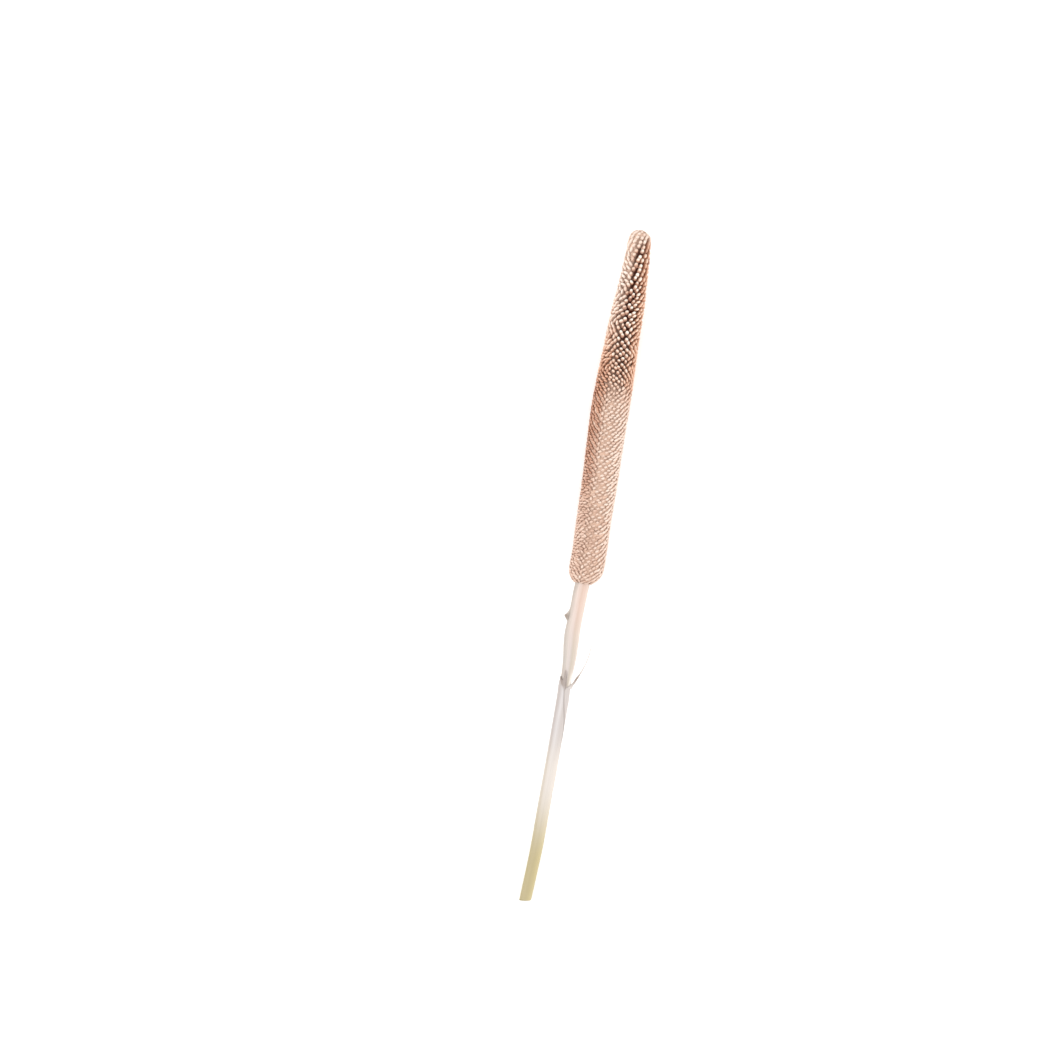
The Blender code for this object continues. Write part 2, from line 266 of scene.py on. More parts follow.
# Leaf sheath
SHEATH_MOUTH = 0.278
SHEATH_GAP = 0.00066
SHEATH_WALL = 0.00018
SHEATH_LAP_RISE = 0.00026
SOLID_SHEATH_GAP = 0.0003
SOLID_SHEATH_WALL = 0.00035
SOLID_SHEATH_LAP_RISE = 0.0006
INNER_MARGIN = radians(-45)
OUTER_MARGIN = radians(90)
MARGIN_TURN = radians(-100)
MARGIN_TURN_LENGTH = 0.038
SHEATH_SEED = 5
SHEATH_COLUMNS = 210
SHEATH_ROWS = 190
SHEATH_ROW_CROWDING = 1.3
VEINS = 34
VEIN_HEIGHT = 0.00004
CREASE_HEIGHT = 0.00003
CREASES = ((3, 0.013), (1, 0.019))
CREASES_FADE_OVER = 0.01
COLLAR_FLARE = 0.0002
COLLAR_FLARES_TO = 0.2870
COLLAR_FLARES_OVER = 0.009

# The torn rim: how far it rises above the mouth at each angle, in degrees
RIM_RISE = (
    (-45, 0.0000), (-14, 0.0004), (17, 0.0000), (48, -0.0004), (66, 0.0000), (72, 0.0006),
    (76, 0.0020), (80, 0.0048), (85, 0.0084), (90, 0.0106), (94, 0.0098), (99, 0.0074),
    (104, 0.0055), (113, 0.0040), (123, 0.0036), (135, 0.0042), (143, 0.0052), (151, 0.0064),
    (158, 0.0060), (165, 0.0038), (174, 0.0018), (190, 0.0006), (234, -0.0010), (265, 0.0000),
    (295, -0.0005), (326, 0.0000), (357, 0.0002), (382, 0.0006), (396, 0.0011), (412, 0.0010),
    (424, 0.0003), (437, -0.0006), (450, -0.0015),
)
RIM_RIPPLE = 0.00016
RIM_RIPPLE_DEGREES = 3.1
RIM_ROUGHNESS = 0.00025
# Where a tooth starts and ends, each with how far it takes to rise or fall, in degrees
MIDDLE_TOOTH = (72, 6, 126, 22)
BOTH_TEETH = (72, 6, 174, 12)
# How far down from the rim the teeth are dark, at each angle; the shares of it where that fades; how dark
TORN_FADES_FROM = 0.7
TORN_FADES_OVER = 0.5
TORN_DARKNESS = 0.68
TORN_DEPTH = (
    (72, 0.0020), (76, 0.0040), (84, 0.0110), (91, 0.0126), (98, 0.0100), (104, 0.0066),
    (113, 0.0040), (123, 0.0030), (147, 0.0022), (170, 0.0012),
)
# The middle tooth leans to the left: by how much, over what height, and at most
TOOTH_LEAN = radians(19)
TOOTH_LEANS_OVER = 0.010
TOOTH_LEANS_MOST = 1.1
# Each tooth's middle and half width in degrees, and how far its point stands off
TOOTH_FLARES = ((91, 8.0, 0.0003), (152, 12.0, 0.0002))
TOOTH_FLARES_OVER = 0.006
# The rim lies closer to the stem on the right: by how much, from which cosine of the angle, down to where
RIM_HUG = 0.60
RIM_HUG_FROM = 0.05
RIM_HUG_OVER = 0.30
RIM_HUGS_TO = 0.286
RIM_HUGS_OVER = 0.008
# The painted shadow in the groove beside the outer margin: how dark, where across it as an angle, and
# down to where; and where across the leaf, as a share of its width, the painted shade along the margin's
# edge starts and over how much
GROOVE_DARKNESS = 0.38
GROOVE_ACROSS = (-0.05, 0.10, 0.60, 0.40)
GROOVE_ENDS = 0.307
GROOVE_FADES_OVER = 0.012
MARGIN_EDGE = (0.975, 0.02)

# Torn strip of the blade
STRIP_START = 0.2786
STRIP_END = 0.2510
STRIP_ACROSS = (
    (0.2510, 0.0124), (0.2560, 0.0116), (0.2620, 0.0101), (0.2660, 0.0087), (0.2692, 0.0074),
    (0.2714, 0.0063), (0.2745, 0.0050), (0.2766, 0.0037), (0.2802, 0.0028),
)
STRIP_UP = ((0.2510, 0.0022), (0.2620, 0.0019), (0.2714, 0.0017), (0.2766, 0.0022), (0.2802, 0.0025))
STRIP_WIDTHS = (
    (0.2510, 0.00046), (0.2580, 0.00050), (0.2630, 0.00054), (0.2670, 0.00064), (0.2692, 0.00085),
    (0.2712, 0.00130), (0.2730, 0.00135), (0.2755, 0.00180), (0.2802, 0.00240),
)
STRIP_DARKNESS = (
    (0.2510, 0.22), (0.2600, 0.32), (0.2660, 0.42), (0.2695, 0.65), (0.2708, 0.85), (0.2722, 0.90),
    (0.2740, 0.62), (0.2760, 0.40), (0.2786, 0.10),
)
STRIP_THICKNESS = 0.0003
STRIP_THINNING = 0.55
STRIP_TWIST = (radians(-15), radians(30))
STRIP_STATIONS = 80
STRIP_SIDES = 8

# Camera: the photograph's frame, 1050 pixels square, at 0.6 mm a pixel
FRAME_PIXELS = 1050
METRES_PER_PIXEL = 0.0006
TIP_PIXEL = (641.0, 230.0)
LEAN_IN_PICTURE = radians(9.8)
VIEW_PLANE_HEIGHT = 0.011
LENS = 100.0
SENSOR = 36.0

# Light: how much more of it falls on a surface than the surface would need to show its own colour
LIGHT_LEVEL = 1.5
SKY_STRENGTH = 0.86
SKY_COLOUR = (1.0, 0.995, 0.99, 1.0)
# Each lamp's name, place in the picture, power and colour
LAMP_SIZE = 1.0
LAMPS = (
    ("key", (-1.1, 0.30, 0.70), 7.0, (1.0, 0.99, 0.98)),
    ("fill", (1.1, -0.10, 0.60), 6.0, (1.0, 0.95, 0.91)),
)
FLOOR_HALF_SIZE = 6.0
FLOOR_DROP = 0.0002
FLOOR_COLOUR = (0.93, 0.93, 0.925, 1.0)


def srgb(red, green, blue):
    """A colour given as it looks in this light, 0 to 255, as the linear values that a shader takes."""
    values = np.array([red, green, blue]) / 255
    linear = np.where(values <= 0.04045, values / 12.92, ((values + 0.055) / 1.055) ** 2.4) / LIGHT_LEVEL
    return (*(float(value) for value in linear), 1.0)


def smooth_value(points, at):
    """A smooth curve through the points, read at many places at once; it ends flat beyond them."""
    x, y = np.array(points).T
    slope = np.empty_like(y)
    slope[1:-1] = (y[2:] - y[:-2]) / (x[2:] - x[:-2])
    slope[0] = (y[1] - y[0]) / (x[1] - x[0])
    slope[-1] = (y[-1] - y[-2]) / (x[-1] - x[-2])
    at = np.clip(np.asarray(at, float), x[0], x[-1])
    i = np.clip(np.searchsorted(x, at, side="right") - 1, 0, len(x) - 2)
    span = x[i + 1] - x[i]
    t = (at - x[i]) / span
    return (
        (2 * t**3 - 3 * t**2 + 1) * y[i]
        + (t**3 - 2 * t**2 + t) * slope[i] * span
        + (3 * t**2 - 2 * t**3) * y[i + 1]
        + (t**3 - t**2) * slope[i + 1] * span
    )


def dome(distance, depth):
    share = np.clip(distance / depth, 0.0, 1.0)
    return np.sqrt(np.clip(1 - (1 - share) ** 2, 0.0, 1.0))


def head_radius(reach):
    body = smooth_value(HEAD_WIDTHS, reach) / 2
    return body * dome(reach, TIP_DOME) * dome(HEAD_LENGTH - reach, BASE_DOME)


def stem_radius(reach):
    return smooth_value(STEM_WIDTHS, reach) / 2


def ease(t):
    t = np.clip(t, 0.0, 1.0)
    return t * t * (3 - 2 * t)


def hump(value, start, rise, end, fall):
    """1 between start and end and 0 beyond them, with soft changes that take up rise and fall."""
    return ease((value - start) / rise) * ease((end - value) / fall)


def sheath_wrap(reach):
    """How far round the leaf goes, from its inner to its outer margin; it laps less below the mouth."""
    turned = ease((reach - SHEATH_MOUTH) / MARGIN_TURN_LENGTH)
    return 2 * pi + OUTER_MARGIN - INNER_MARGIN + MARGIN_TURN * turned


def axis_height(reach):
    """Height of the stalk's axis: straight through the head, then sagging until the cut end lies down."""
    top = head_radius(REST_FROM) - PRESSED_FLAT
    fall = (head_radius(REST_FROM) - head_radius(REST_TO)) / (REST_TO - REST_FROM)
    underside_wrap = 1.5 * pi - INNER_MARGIN
    underside_rise = SOLID_SHEATH_GAP + SOLID_SHEATH_LAP_RISE * underside_wrap / (2 * pi)
    end_height = stem_radius(STALK_LENGTH) + underside_rise + SOLID_SHEATH_WALL
    sag = top - fall * (STALK_LENGTH - REST_FROM) - end_height
    beyond = np.clip((reach - HEAD_LENGTH) / (STALK_LENGTH - HEAD_LENGTH), 0.0, None)
    return top - fall * (reach - REST_FROM) - sag * beyond**2


def place(reach, radius, angle):
    """Rows of points at these reaches, this far from the stalk's axis, kept above the floor."""
    reach, radius, angle = np.broadcast_arrays(*(np.asarray(v, float) for v in (reach, radius, angle)))
    across = AXIS_X + smooth_value(SIDEWAYS_BEND, reach) + radius * np.cos(angle)
    up = axis_height(reach) + radius * np.sin(angle)
    return np.stack([across, TIP_Y - reach, np.maximum(up, 0.0)], axis=-1).reshape(-1, 3)


def circle(sides):
    return 2 * pi * np.arange(sides) / sides


def unit(vectors):
    return vectors / np.linalg.norm(vectors, axis=-1, keepdims=True)


def make_piece(name, points, faces, attributes, material, replaced=None):
    """A smooth-shaded mesh object on the one body, with its material and its named point values."""
    mesh = bpy.data.meshes.new(name)
    mesh.from_pydata(np.asarray(points).tolist(), [], faces)
    for key, values in attributes.items():
        layer = mesh.attributes.new(key, "FLOAT", "POINT")
        layer.data.foreach_set("value", np.asarray(values, np.float32).ravel())
    mesh.materials.append(material)
    mesh.shade_smooth()
    mesh.update()
    piece = bpy.data.objects.new(name, mesh)
    bpy.context.scene.collection.objects.link(piece)
    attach(piece, "root")
    if replaced:
        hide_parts(replaced)


def tube_faces(rings, sides, start=0, closed=True):
    """Quads between rings of points that are stored one after another."""
    faces = []
    for ring in range(rings - 1):
        for side in range(sides if closed else sides - 1):
            a = start + ring * sides + side
            b = start + ring * sides + (side + 1) % sides
            faces.append((a, a + sides, b + sides, b))
    return faces


def closed_tube(rings, sides):
    """The faces of a tube with both its ends closed."""
    last = (rings - 1) * sides
    ends = [tuple(range(sides)), tuple(range(last, last + sides))[::-1]]
    return tube_faces(rings, sides) + ends


def stamped(template, faces, centres, frames, sizes):
    """Copies of a template at many centres; its three coordinates run along each frame's vectors."""
    points = centres[:, None, :] + np.einsum("tk,gkx->gtx", template, frames) * sizes[:, None, None]
    count = len(template)
    all_faces = [tuple(copy * count + v for v in face) for copy in range(len(centres)) for face in faces]
    return points.reshape(-1, 3), all_faces


def on_floor(points):
    points[:, 2] = np.maximum(points[:, 2], 0.0)
    return points


# Places of the grains

def row_reaches():
    """Reaches of the rows of grains, from near the head's tip to near its base."""
    reach = HEAD_LENGTH * (1 - np.cos(np.linspace(0.0, pi, OUTLINE_SAMPLES))) / 2
    radius = head_radius(reach)
    step = np.hypot(np.diff(reach), np.diff(radius))
    rows = np.concatenate([[0.0], np.cumsum(step / smooth_value(ROW_DISTANCES, reach[1:]))])
    first = rows[np.flatnonzero(radius > FIRST_ROW_RADIUS)[0]]
    last = rows[np.flatnonzero(radius > LAST_ROW_RADIUS)[-1]]
    return np.interp(np.linspace(first, last, round(last - first) + 1), rows, reach)


def grain_places(rng):
    """Reach and angle of every grain."""
    reaches, angles = [np.array([0.0])], [np.array([0.0])]
    phase = 0.0
    for reach in row_reaches():
        spacing = float(smooth_value(GRAIN_DISTANCES, reach))
        count = max(round(2 * pi * float(head_radius(reach)) / spacing), FEWEST_GRAINS)
        phase = (phase + float(smooth_value(ROW_SHIFTS, reach))) % 1.0
        turn = FIRST_TURN + 2 * pi * (np.arange(count) + phase) / count
        drift = LINE_DRIFT * sin(reach / LINE_DRIFT_LENGTH)
        wave = LINE_WAVE * np.sin(2 * turn + reach / LINE_WAVE_LENGTH)
        shift = rng.normal(0.0, GRAIN_PLACE_VARIES, (2, count))
        reaches.append(np.clip(reach + shift[0], GRAIN_INSIDE_HEAD, HEAD_LENGTH - GRAIN_INSIDE_HEAD))
        angles.append(turn + drift + wave + shift[1] / head_radius(reach))
    return np.concatenate(reaches), np.concatenate(angles)


def over_head(tables, zones, reach, angle):
    """A value given along the reach on the left, in the middle and on the right, read at many places."""
    side = np.cos(angle)
    left, right = ease((-side - zones[0]) / zones[1]), ease((side - zones[2]) / zones[3])
    at_left, at_middle, at_right = (smooth_value(table, reach) for table in tables)
    return left * at_left + right * at_right + (1 - left - right) * at_middle


def grain_lines(reach, angle, rng):
    """Which of its two lines of grains each grain lies along, and how far apart that line's grains are.

    The first is a turn round the grain's own axis, the second a share of the grains' mean distance.
    """
    up, across = smooth_value(ROW_DISTANCES, reach), smooth_value(GRAIN_DISTANCES, reach)
    shift = smooth_value(ROW_SHIFTS, reach)
    sway = over_head(SWAY, SWAY_ZONES, reach, angle) + rng.normal(0.0, SWAY_VARIES, len(reach))
    sideways = np.where(sway > 0, shift, 1 - shift) * across
    return sway * np.arctan2(sideways, up), np.hypot(sideways, up) / np.sqrt(up * across)


def surface_slope(reach):
    """How steeply the head widens, with an upright face at its tip."""
    low, high = np.clip(reach - SLOPE_STEP, 0, None), np.clip(reach + SLOPE_STEP, None, HEAD_LENGTH)
    slope = (head_radius(high) - head_radius(low)) / (high - low)
    return np.where(reach <= SLOPE_STEP, TIP_SLOPE, np.clip(slope, -STEEPEST, STEEPEST))


def surface_frames(reach, angle, lean, swing, turn=0.0):
    """For each place on the head, three vectors of what stands there: across, up the head and outward.

    It leans towards the tip and swings to a side, and its first two vectors are turned round the third.
    """
    slope = surface_slope(reach)[:, None]
    outward = np.stack([np.cos(angle), np.zeros_like(angle), np.sin(angle)], axis=-1)
    forward = np.array([0.0, 1.0, 0.0])
    normal = unit(outward + slope * forward)
    upward = unit(forward - slope * outward)
    side = np.cross(upward, normal)
    lean = lean[:, None]
    axis = unit(normal * np.cos(lean) + upward * np.sin(lean) + side * swing[:, None])
    up = unit(upward - axis * (upward * axis).sum(-1, keepdims=True))
    across = np.cross(up, axis)
    turn = np.broadcast_to(turn, reach.shape)[:, None]
    return np.stack([
        across * np.cos(turn) - up * np.sin(turn), up * np.cos(turn) + across * np.sin(turn), axis,
    ], axis=1)


# Materials

def give(node, **values):
    """Set a node's inputs by their names, with _ for each space."""
    for name, value in values.items():
        node.inputs[name.replace("_", " ")].default_value = value


class Shader:
    """A material's node tree, with short ways to add and join its nodes."""

    def __init__(self, name):
        self.material = bpy.data.materials.new(name)
        self.material.use_nodes = True
        self.tree = self.material.node_tree
        self.surface = self.tree.nodes["Principled BSDF"]

    def add(self, kind, **settings):
        node = self.tree.nodes.new(kind)
        for key, value in settings.items():
            setattr(node, key, value)
        return node

    def join(self, source, target):
        self.tree.links.new(source, target)

    def value(self, name):
        return self.add("ShaderNodeAttribute", attribute_name=name).outputs["Fac"]

    def math(self, operation, first, second=0.0, clamp=False):
        node = self.add("ShaderNodeMath", operation=operation, use_clamp=clamp)
        for socket, given in zip(node.inputs, (first, second)):
            if isinstance(given, (int, float)):
                socket.default_value = given
            else:
                self.join(given, socket)
        return node.outputs[0]

    def times(self, first, second):
        return self.math("MULTIPLY", first, second)

    def noise(self, scale, detail=3.0, roughness=0.5, vector=None):
        node = self.add("ShaderNodeTexNoise")
        give(node, Scale=scale, Detail=detail, Roughness=roughness)
        place_from = vector or self.add("ShaderNodeTexCoord").outputs["Object"]
        self.join(place_from, node.inputs["Vector"])
        return node.outputs["Fac"]

    def strand_space(self, across, along):
        """Coordinates that run round and along a stem or leaf, so that marks follow its fibres."""
        node = self.add("ShaderNodeCombineXYZ")
        self.join(self.times(self.value("around"), across), node.inputs[0])
        self.join(self.times(self.value("along"), along), node.inputs[1])
        return node.outputs[0]

    def smooth_step(self, source, low, high):
        node = self.add("ShaderNodeMapRange", interpolation_type="SMOOTHSTEP")
        give(node, From_Min=low, From_Max=high)
        self.join(source, node.inputs["Value"])
        return node.outputs[0]

    def softened(self, level, middle):
        """The level, drawn towards a middle one where the surface is soft in contrast."""
        away = self.times(self.math("SUBTRACT", middle, level), self.value("soft"))
        return self.math("ADD", level, self.times(away, SOFT_SHARE))

    def ramp(self, source, stops):
        node = self.add("ShaderNodeValToRGB")
        elements = node.color_ramp.elements
        while len(elements) < len(stops):
            elements.new(0.5)
        for element, (position, *colour) in zip(elements, stops):
            element.position = position
            element.color = srgb(*colour)
        self.join(source, node.inputs[0])
        return node.outputs["Color"]

    def mix(self, share, first, second):
        node = self.add("ShaderNodeMix", data_type="RGBA")
        for socket, given in ((node.inputs[0], share), (node.inputs[6], first), (node.inputs[7], second)):
            if isinstance(given, (int, float, tuple)):
                socket.default_value = given
            else:
                self.join(given, socket)
        return node.outputs[2]

    def finish(self, colour, roughness, bump=None, strength=0.3, distance=0.0002, **sockets):
        self.join(colour, self.surface.inputs["Base Color"])
        give(self.surface, Roughness=roughness, **sockets)
        if bump is not None:
            node = self.add("ShaderNodeBump")
            give(node, Strength=strength, Distance=distance)
            self.join(bump, node.inputs["Height"])
            self.join(node.outputs[0], self.surface.inputs["Normal"])
        return self.material


def three_tints(s, level, plain, peach, pale):
    """Colours from three ranges, mixed by how peach and how pale the surface is, both partly painted
    light.
    """
    colour = s.mix(s.value("warm"), s.ramp(level, plain), s.ramp(level, peach))
    return s.mix(s.value("pale"), colour, s.ramp(level, pale))


def grain_material():
    s = Shader("millet_grain")
    mottle = s.times(s.math("SUBTRACT", s.noise(700.0, 4.0, 0.6), 0.5), 0.35)
    level = s.math("ADD", s.value("crown"), mottle)
    level = s.math("ADD", level, s.times(s.value("tone"), 0.22), True)
    # The shade value is painted shade, set over parts of the head's flanks.
    level = s.math("SUBTRACT", s.softened(level, 0.50), s.value("shade"), True)
    # At the top the crown's colour is near white, partly a painted highlight; the low end, deep on the
    # flanks, is partly painted shade.
    plain = (
        (0.00, 96, 38, 18), (0.22, 158, 98, 70), (0.46, 208, 158, 128), (0.68, 242, 214, 190),
        (0.88, 255, 250, 240),
    )
    peach = ((0.00, 128, 68, 44), (0.28, 200, 142, 112), (0.58, 238, 188, 158), (1.00, 252, 226, 202))
    pale = ((0.00, 184, 140, 118), (0.30, 228, 194, 174), (0.62, 250, 230, 216), (1.00, 255, 252, 246))
    colour = three_tints(s, level, plain, peach, pale)
    return s.finish(colour, 0.46, s.noise(2600.0, 2.0), 0.25, 0.00006, Specular_IOR_Level=0.4)


def husk_material():
    s = Shader("millet_husk")
    fibre = s.noise(1500.0, 3.0, 0.6)
    level = s.math("ADD", s.times(s.value("rim"), 0.75), s.times(fibre, 0.35), True)
    # The shade value is painted shade, set over parts of the head's flanks.
    level = s.math("SUBTRACT", s.softened(level, 0.90), s.value("shade"), True)
    # The low ends of these ranges, deep in the gaps between grains, are partly painted shade.
    plain = ((0.00, 58, 13, 4), (0.50, 116, 50, 26), (0.80, 172, 108, 78), (1.00, 216, 166, 134))
    peach = ((0.00, 98, 44, 24), (0.50, 170, 110, 82), (1.00, 226, 176, 146))
    pale = ((0.00, 172, 126, 104), (0.50, 222, 184, 164), (1.00, 252, 232, 216))
    colour = three_tints(s, level, plain, peach, pale)
    return s.finish(colour, 0.8, fibre, 0.3, 0.00008, Specular_IOR_Level=0.08)


def core_material():
    s = Shader("millet_core")
    # Near-black brown: partly painted shade in the gaps between the husks.
    colour = s.ramp(s.noise(900.0), ((0.3, 60, 16, 6), (0.7, 96, 36, 16)))
    colour = s.mix(s.value("soft"), colour, srgb(242, 208, 186))
    return s.finish(colour, 0.9, Specular_IOR_Level=0.05)


def bristle_material():
    s = Shader("millet_bristle")
    colour = s.ramp(s.value("tip"), ((0.0, 96, 48, 28), (1.0, 214, 170, 138)))
    return s.finish(colour, 0.7)


def stem_material():
    s = Shader("dry_stem")
    streak = s.noise(1.0, 4.0, 0.6, s.strand_space(9.0, 60.0))
    fine = s.noise(1.0, 3.0, 0.6, s.strand_space(34.0, 90.0))
    wander = s.times(s.math("SUBTRACT", streak, 0.5), 0.09)
    bands = s.math("ADD", s.value("around"), wander)
    # Across the stem, the grey band along its left edge is painted shade and the paler right edge painted
    # light; the change from one ramp to the other along it is the stem's colour.
    near_head_bands = s.ramp(bands, (
        (0.00, 234, 219, 208), (0.085, 232, 213, 202), (0.142, 230, 205, 193), (0.185, 227, 200, 187),
        (0.224, 224, 197, 183), (0.261, 229, 207, 197), (0.300, 232, 214, 206), (0.340, 216, 200, 191),
        (0.389, 197, 185, 176), (0.440, 187, 178, 171), (0.520, 191, 182, 175), (0.720, 222, 201, 189),
        (1.00, 234, 219, 208),
    ))
    lower_bands = s.ramp(bands, (
        (0.00, 230, 220, 212), (0.075, 227, 215, 206), (0.135, 214, 202, 191), (0.185, 205, 195, 181),
        (0.230, 210, 200, 193), (0.270, 219, 209, 206), (0.310, 220, 209, 203), (0.350, 204, 197, 190),
        (0.400, 191, 183, 176), (0.460, 196, 189, 184), (0.520, 198, 190, 183), (0.720, 213, 201, 191),
        (1.00, 230, 220, 212),
    ))
    colour = s.mix(s.smooth_step(s.value("along"), 0.224, 0.262), near_head_bands, lower_bands)
    colour = s.mix(s.times(fine, 0.25), colour, srgb(200, 184, 166))
    left_side = s.smooth_step(bands, 0.28, 0.34)
    shaded = s.times(s.smooth_step(s.value("along"), 0.261, 0.270), left_side)
    colour = s.mix(s.times(shaded, 0.5), colour, srgb(194, 181, 173))
    # Painted light: the stem's right side just above the sheath's mouth is made near white.
    right_side = s.smooth_step(bands, 0.18, 0.10)
    painted_light = s.times(s.smooth_step(s.value("along"), 0.266, 0.273), right_side)
    colour = s.mix(s.times(painted_light, 0.6), colour, srgb(253, 249, 243))
    speck = s.math("GREATER_THAN", s.noise(1.0, 2.0, 0.5, s.strand_space(30.0, 600.0)), 0.74)
    colour = s.mix(s.times(speck, 0.3), colour, srgb(160, 130, 106))
    return s.finish(colour, 0.6, fine, 0.4, 0.00012, Specular_IOR_Level=0.3)


def sheath_material():
    s = Shader("dry_leaf")
    streak = s.noise(1.0, 4.0, 0.6, s.strand_space(10.0, 22.0))
    vein = s.noise(1.0, 2.0, 0.5, s.strand_space(34.0, 9.0))
    wander = s.times(s.math("SUBTRACT", streak, 0.5), 0.10)
    bands = s.math("ADD", s.math("FRACT", s.value("around")), wander)
    # Across the leaf these bands are partly painted shade, darker towards its left edge; the change from
    # upper to middle to lower along it is the leaf's colour.
    upper = s.ramp(bands, (
        (0.00, 203, 195, 192), (0.07, 206, 199, 197), (0.12, 211, 204, 202), (0.16, 209, 201, 199),
        (0.20, 211, 204, 202), (0.24, 215, 209, 208), (0.284, 224, 219, 219), (0.33, 210, 203, 202),
        (0.382, 190, 181, 178), (0.43, 201, 194, 193), (0.50, 207, 201, 201), (0.70, 207, 200, 196),
        (1.00, 203, 195, 192),
    ))
    middle = s.ramp(bands, (
        (0.00, 237, 228, 219), (0.12, 233, 225, 218), (0.25, 229, 222, 216), (0.30, 230, 222, 216),
        (0.345, 225, 216, 208), (0.385, 209, 199, 186), (0.44, 215, 206, 196), (0.70, 223, 214, 206),
        (1.00, 237, 228, 219),
    ))
    lower = s.ramp(bands, (
        (0.00, 209, 195, 146), (0.12, 203, 189, 142), (0.25, 191, 178, 136), (0.30, 193, 179, 138),
        (0.345, 190, 177, 137), (0.40, 183, 170, 128), (0.50, 191, 178, 138), (0.70, 197, 183, 141),
        (1.00, 209, 195, 146),
    ))
    colour = s.mix(s.smooth_step(s.value("along"), 0.302, 0.330), upper, middle)
    colour = s.mix(s.smooth_step(s.value("along"), 0.335, 0.385), colour, lower)
    colour = s.mix(s.times(vein, 0.22), colour, srgb(176, 164, 146))
    # The torn value darkens the torn teeth and paints shadow in the groove beside the outer margin and
    # along its edge.
    colour = s.mix(s.value("torn"), colour, srgb(146, 128, 117))
    return s.finish(colour, 0.65, vein, 0.35, 0.0001, Specular_IOR_Level=0.3)


def strip_material():
    s = Shader("torn_blade")
    colour = s.ramp(s.value("dark"), ((0.0, 236, 231, 228), (0.45, 200, 190, 183), (1.0, 148, 130, 119)))
    fibre = s.noise(1.0, 3.0, 0.6, s.strand_space(8.0, 400.0))
    return s.finish(s.mix(s.times(fibre, 0.2), colour, srgb(170, 152, 140)), 0.65, fibre, 0.3)


def cut_material():
    s = Shader("cut_stem")
    rings = s.ramp(s.value("rind"), (
        (0.0, 244, 236, 208), (0.72, 236, 224, 184), (0.86, 190, 172, 110), (1.0, 206, 190, 130),
    ))
    cells = s.add("ShaderNodeTexVoronoi")
    give(cells, Scale=1900.0)
    s.join(s.add("ShaderNodeTexCoord").outputs["Object"], cells.inputs["Vector"])
    bundle = s.math("LESS_THAN", cells.outputs["Distance"], 0.24)
    colour = s.mix(s.times(bundle, 0.55), rings, srgb(168, 142, 88))
    return s.finish(colour, 0.85, s.noise(2200.0, 3.0), 0.6, 0.00015)


def bud_material():
    s = Shader("dry_bud")
    shade = s.math("ADD", s.value("dark"), s.times(s.noise(1400.0, 3.0, 0.6), 0.3), True)
    colour = s.ramp(shade, ((0.15, 212, 202, 192), (0.55, 188, 176, 166), (1.00, 164, 150, 139)))
    return s.finish(colour, 0.75, s.noise(1800.0), 0.3)


# Seed head

def grain_template():
    """One grain: a crown point, rings down to its foot and a closed foot. Its last axis is outward."""
    turn = circle(GRAIN_SIDES)
    points, crown = [[0.0, 0.0, 0.0]], [1.0]
    for depth, radius, share in GRAIN_PROFILE:
        x, y = GRAIN_NARROW * radius * np.cos(turn), GRAIN_LONG * radius * np.sin(turn)
        points += np.stack([x, y, 0 * turn - depth], -1).tolist()
        crown += [share] * GRAIN_SIDES
    faces = [(0, 1 + k, 1 + (k + 1) % GRAIN_SIDES) for k in range(GRAIN_SIDES)]
    faces += tube_faces(len(GRAIN_PROFILE), GRAIN_SIDES, start=1)
    last = 1 + (len(GRAIN_PROFILE) - 1) * GRAIN_SIDES
    faces.append(tuple(range(last, last + GRAIN_SIDES)))
    return np.array(points), faces, np.array(crown)


def husk_template():
    """A thin cup round a grain, with a pointed lobe above and below it."""
    turn = circle(HUSK_SIDES)
    even = np.ones(HUSK_SIDES)
    lobe = np.abs(np.sin(turn)) ** HUSK_LOBE_SHARPNESS
    rim_depth = HUSK_RIM_DEPTH - HUSK_LOBE_RISE * lobe
    rim_radius = HUSK_RIM_RADIUS + HUSK_LOBE_FLARE * lobe
    rings = [HUSK_BOTTOM, HUSK_MIDDLE, (rim_depth, rim_radius, 1.0),
             (rim_depth, rim_radius - HUSK_WALL, 1.0), HUSK_INSIDE]
    points, rim = [], []
    for depth, radius, share in rings:
        points += np.stack([radius * np.cos(turn), radius * np.sin(turn), -depth * even], -1).tolist()
        rim += [share] * HUSK_SIDES
    faces = [tuple(f[::-1]) for f in tube_faces(len(rings), HUSK_SIDES)]
    faces.append(tuple(range(HUSK_SIDES))[::-1])
    faces.append(tuple(range(4 * HUSK_SIDES, 5 * HUSK_SIDES)))
    return np.array(points), faces, np.array(rim)


def tints(reach, angle, rng):
    """How peach, how pale, how much darker and how soft in contrast each grain is; peach and pale partly
    painted light, darker painted shade.
    """
    given = {"warm": (PEACH_AND_PAINTED_WARM_LIGHT, TINT_ZONES), "pale": (PALE_AND_PAINTED_LIGHT, TINT_ZONES), "shade": (PAINTED_SHADE, TINT_ZONES),
             "soft": (SOFT, SOFT_ZONES)}
    spread = {}
    for name, (tables, zones) in given.items():
        varied = over_head(tables, zones, reach, angle) + rng.normal(0.0, GRAIN_TINT_VARIES, len(reach))
        spread[name] = np.clip(varied, 0.0, 1.0)
    return spread


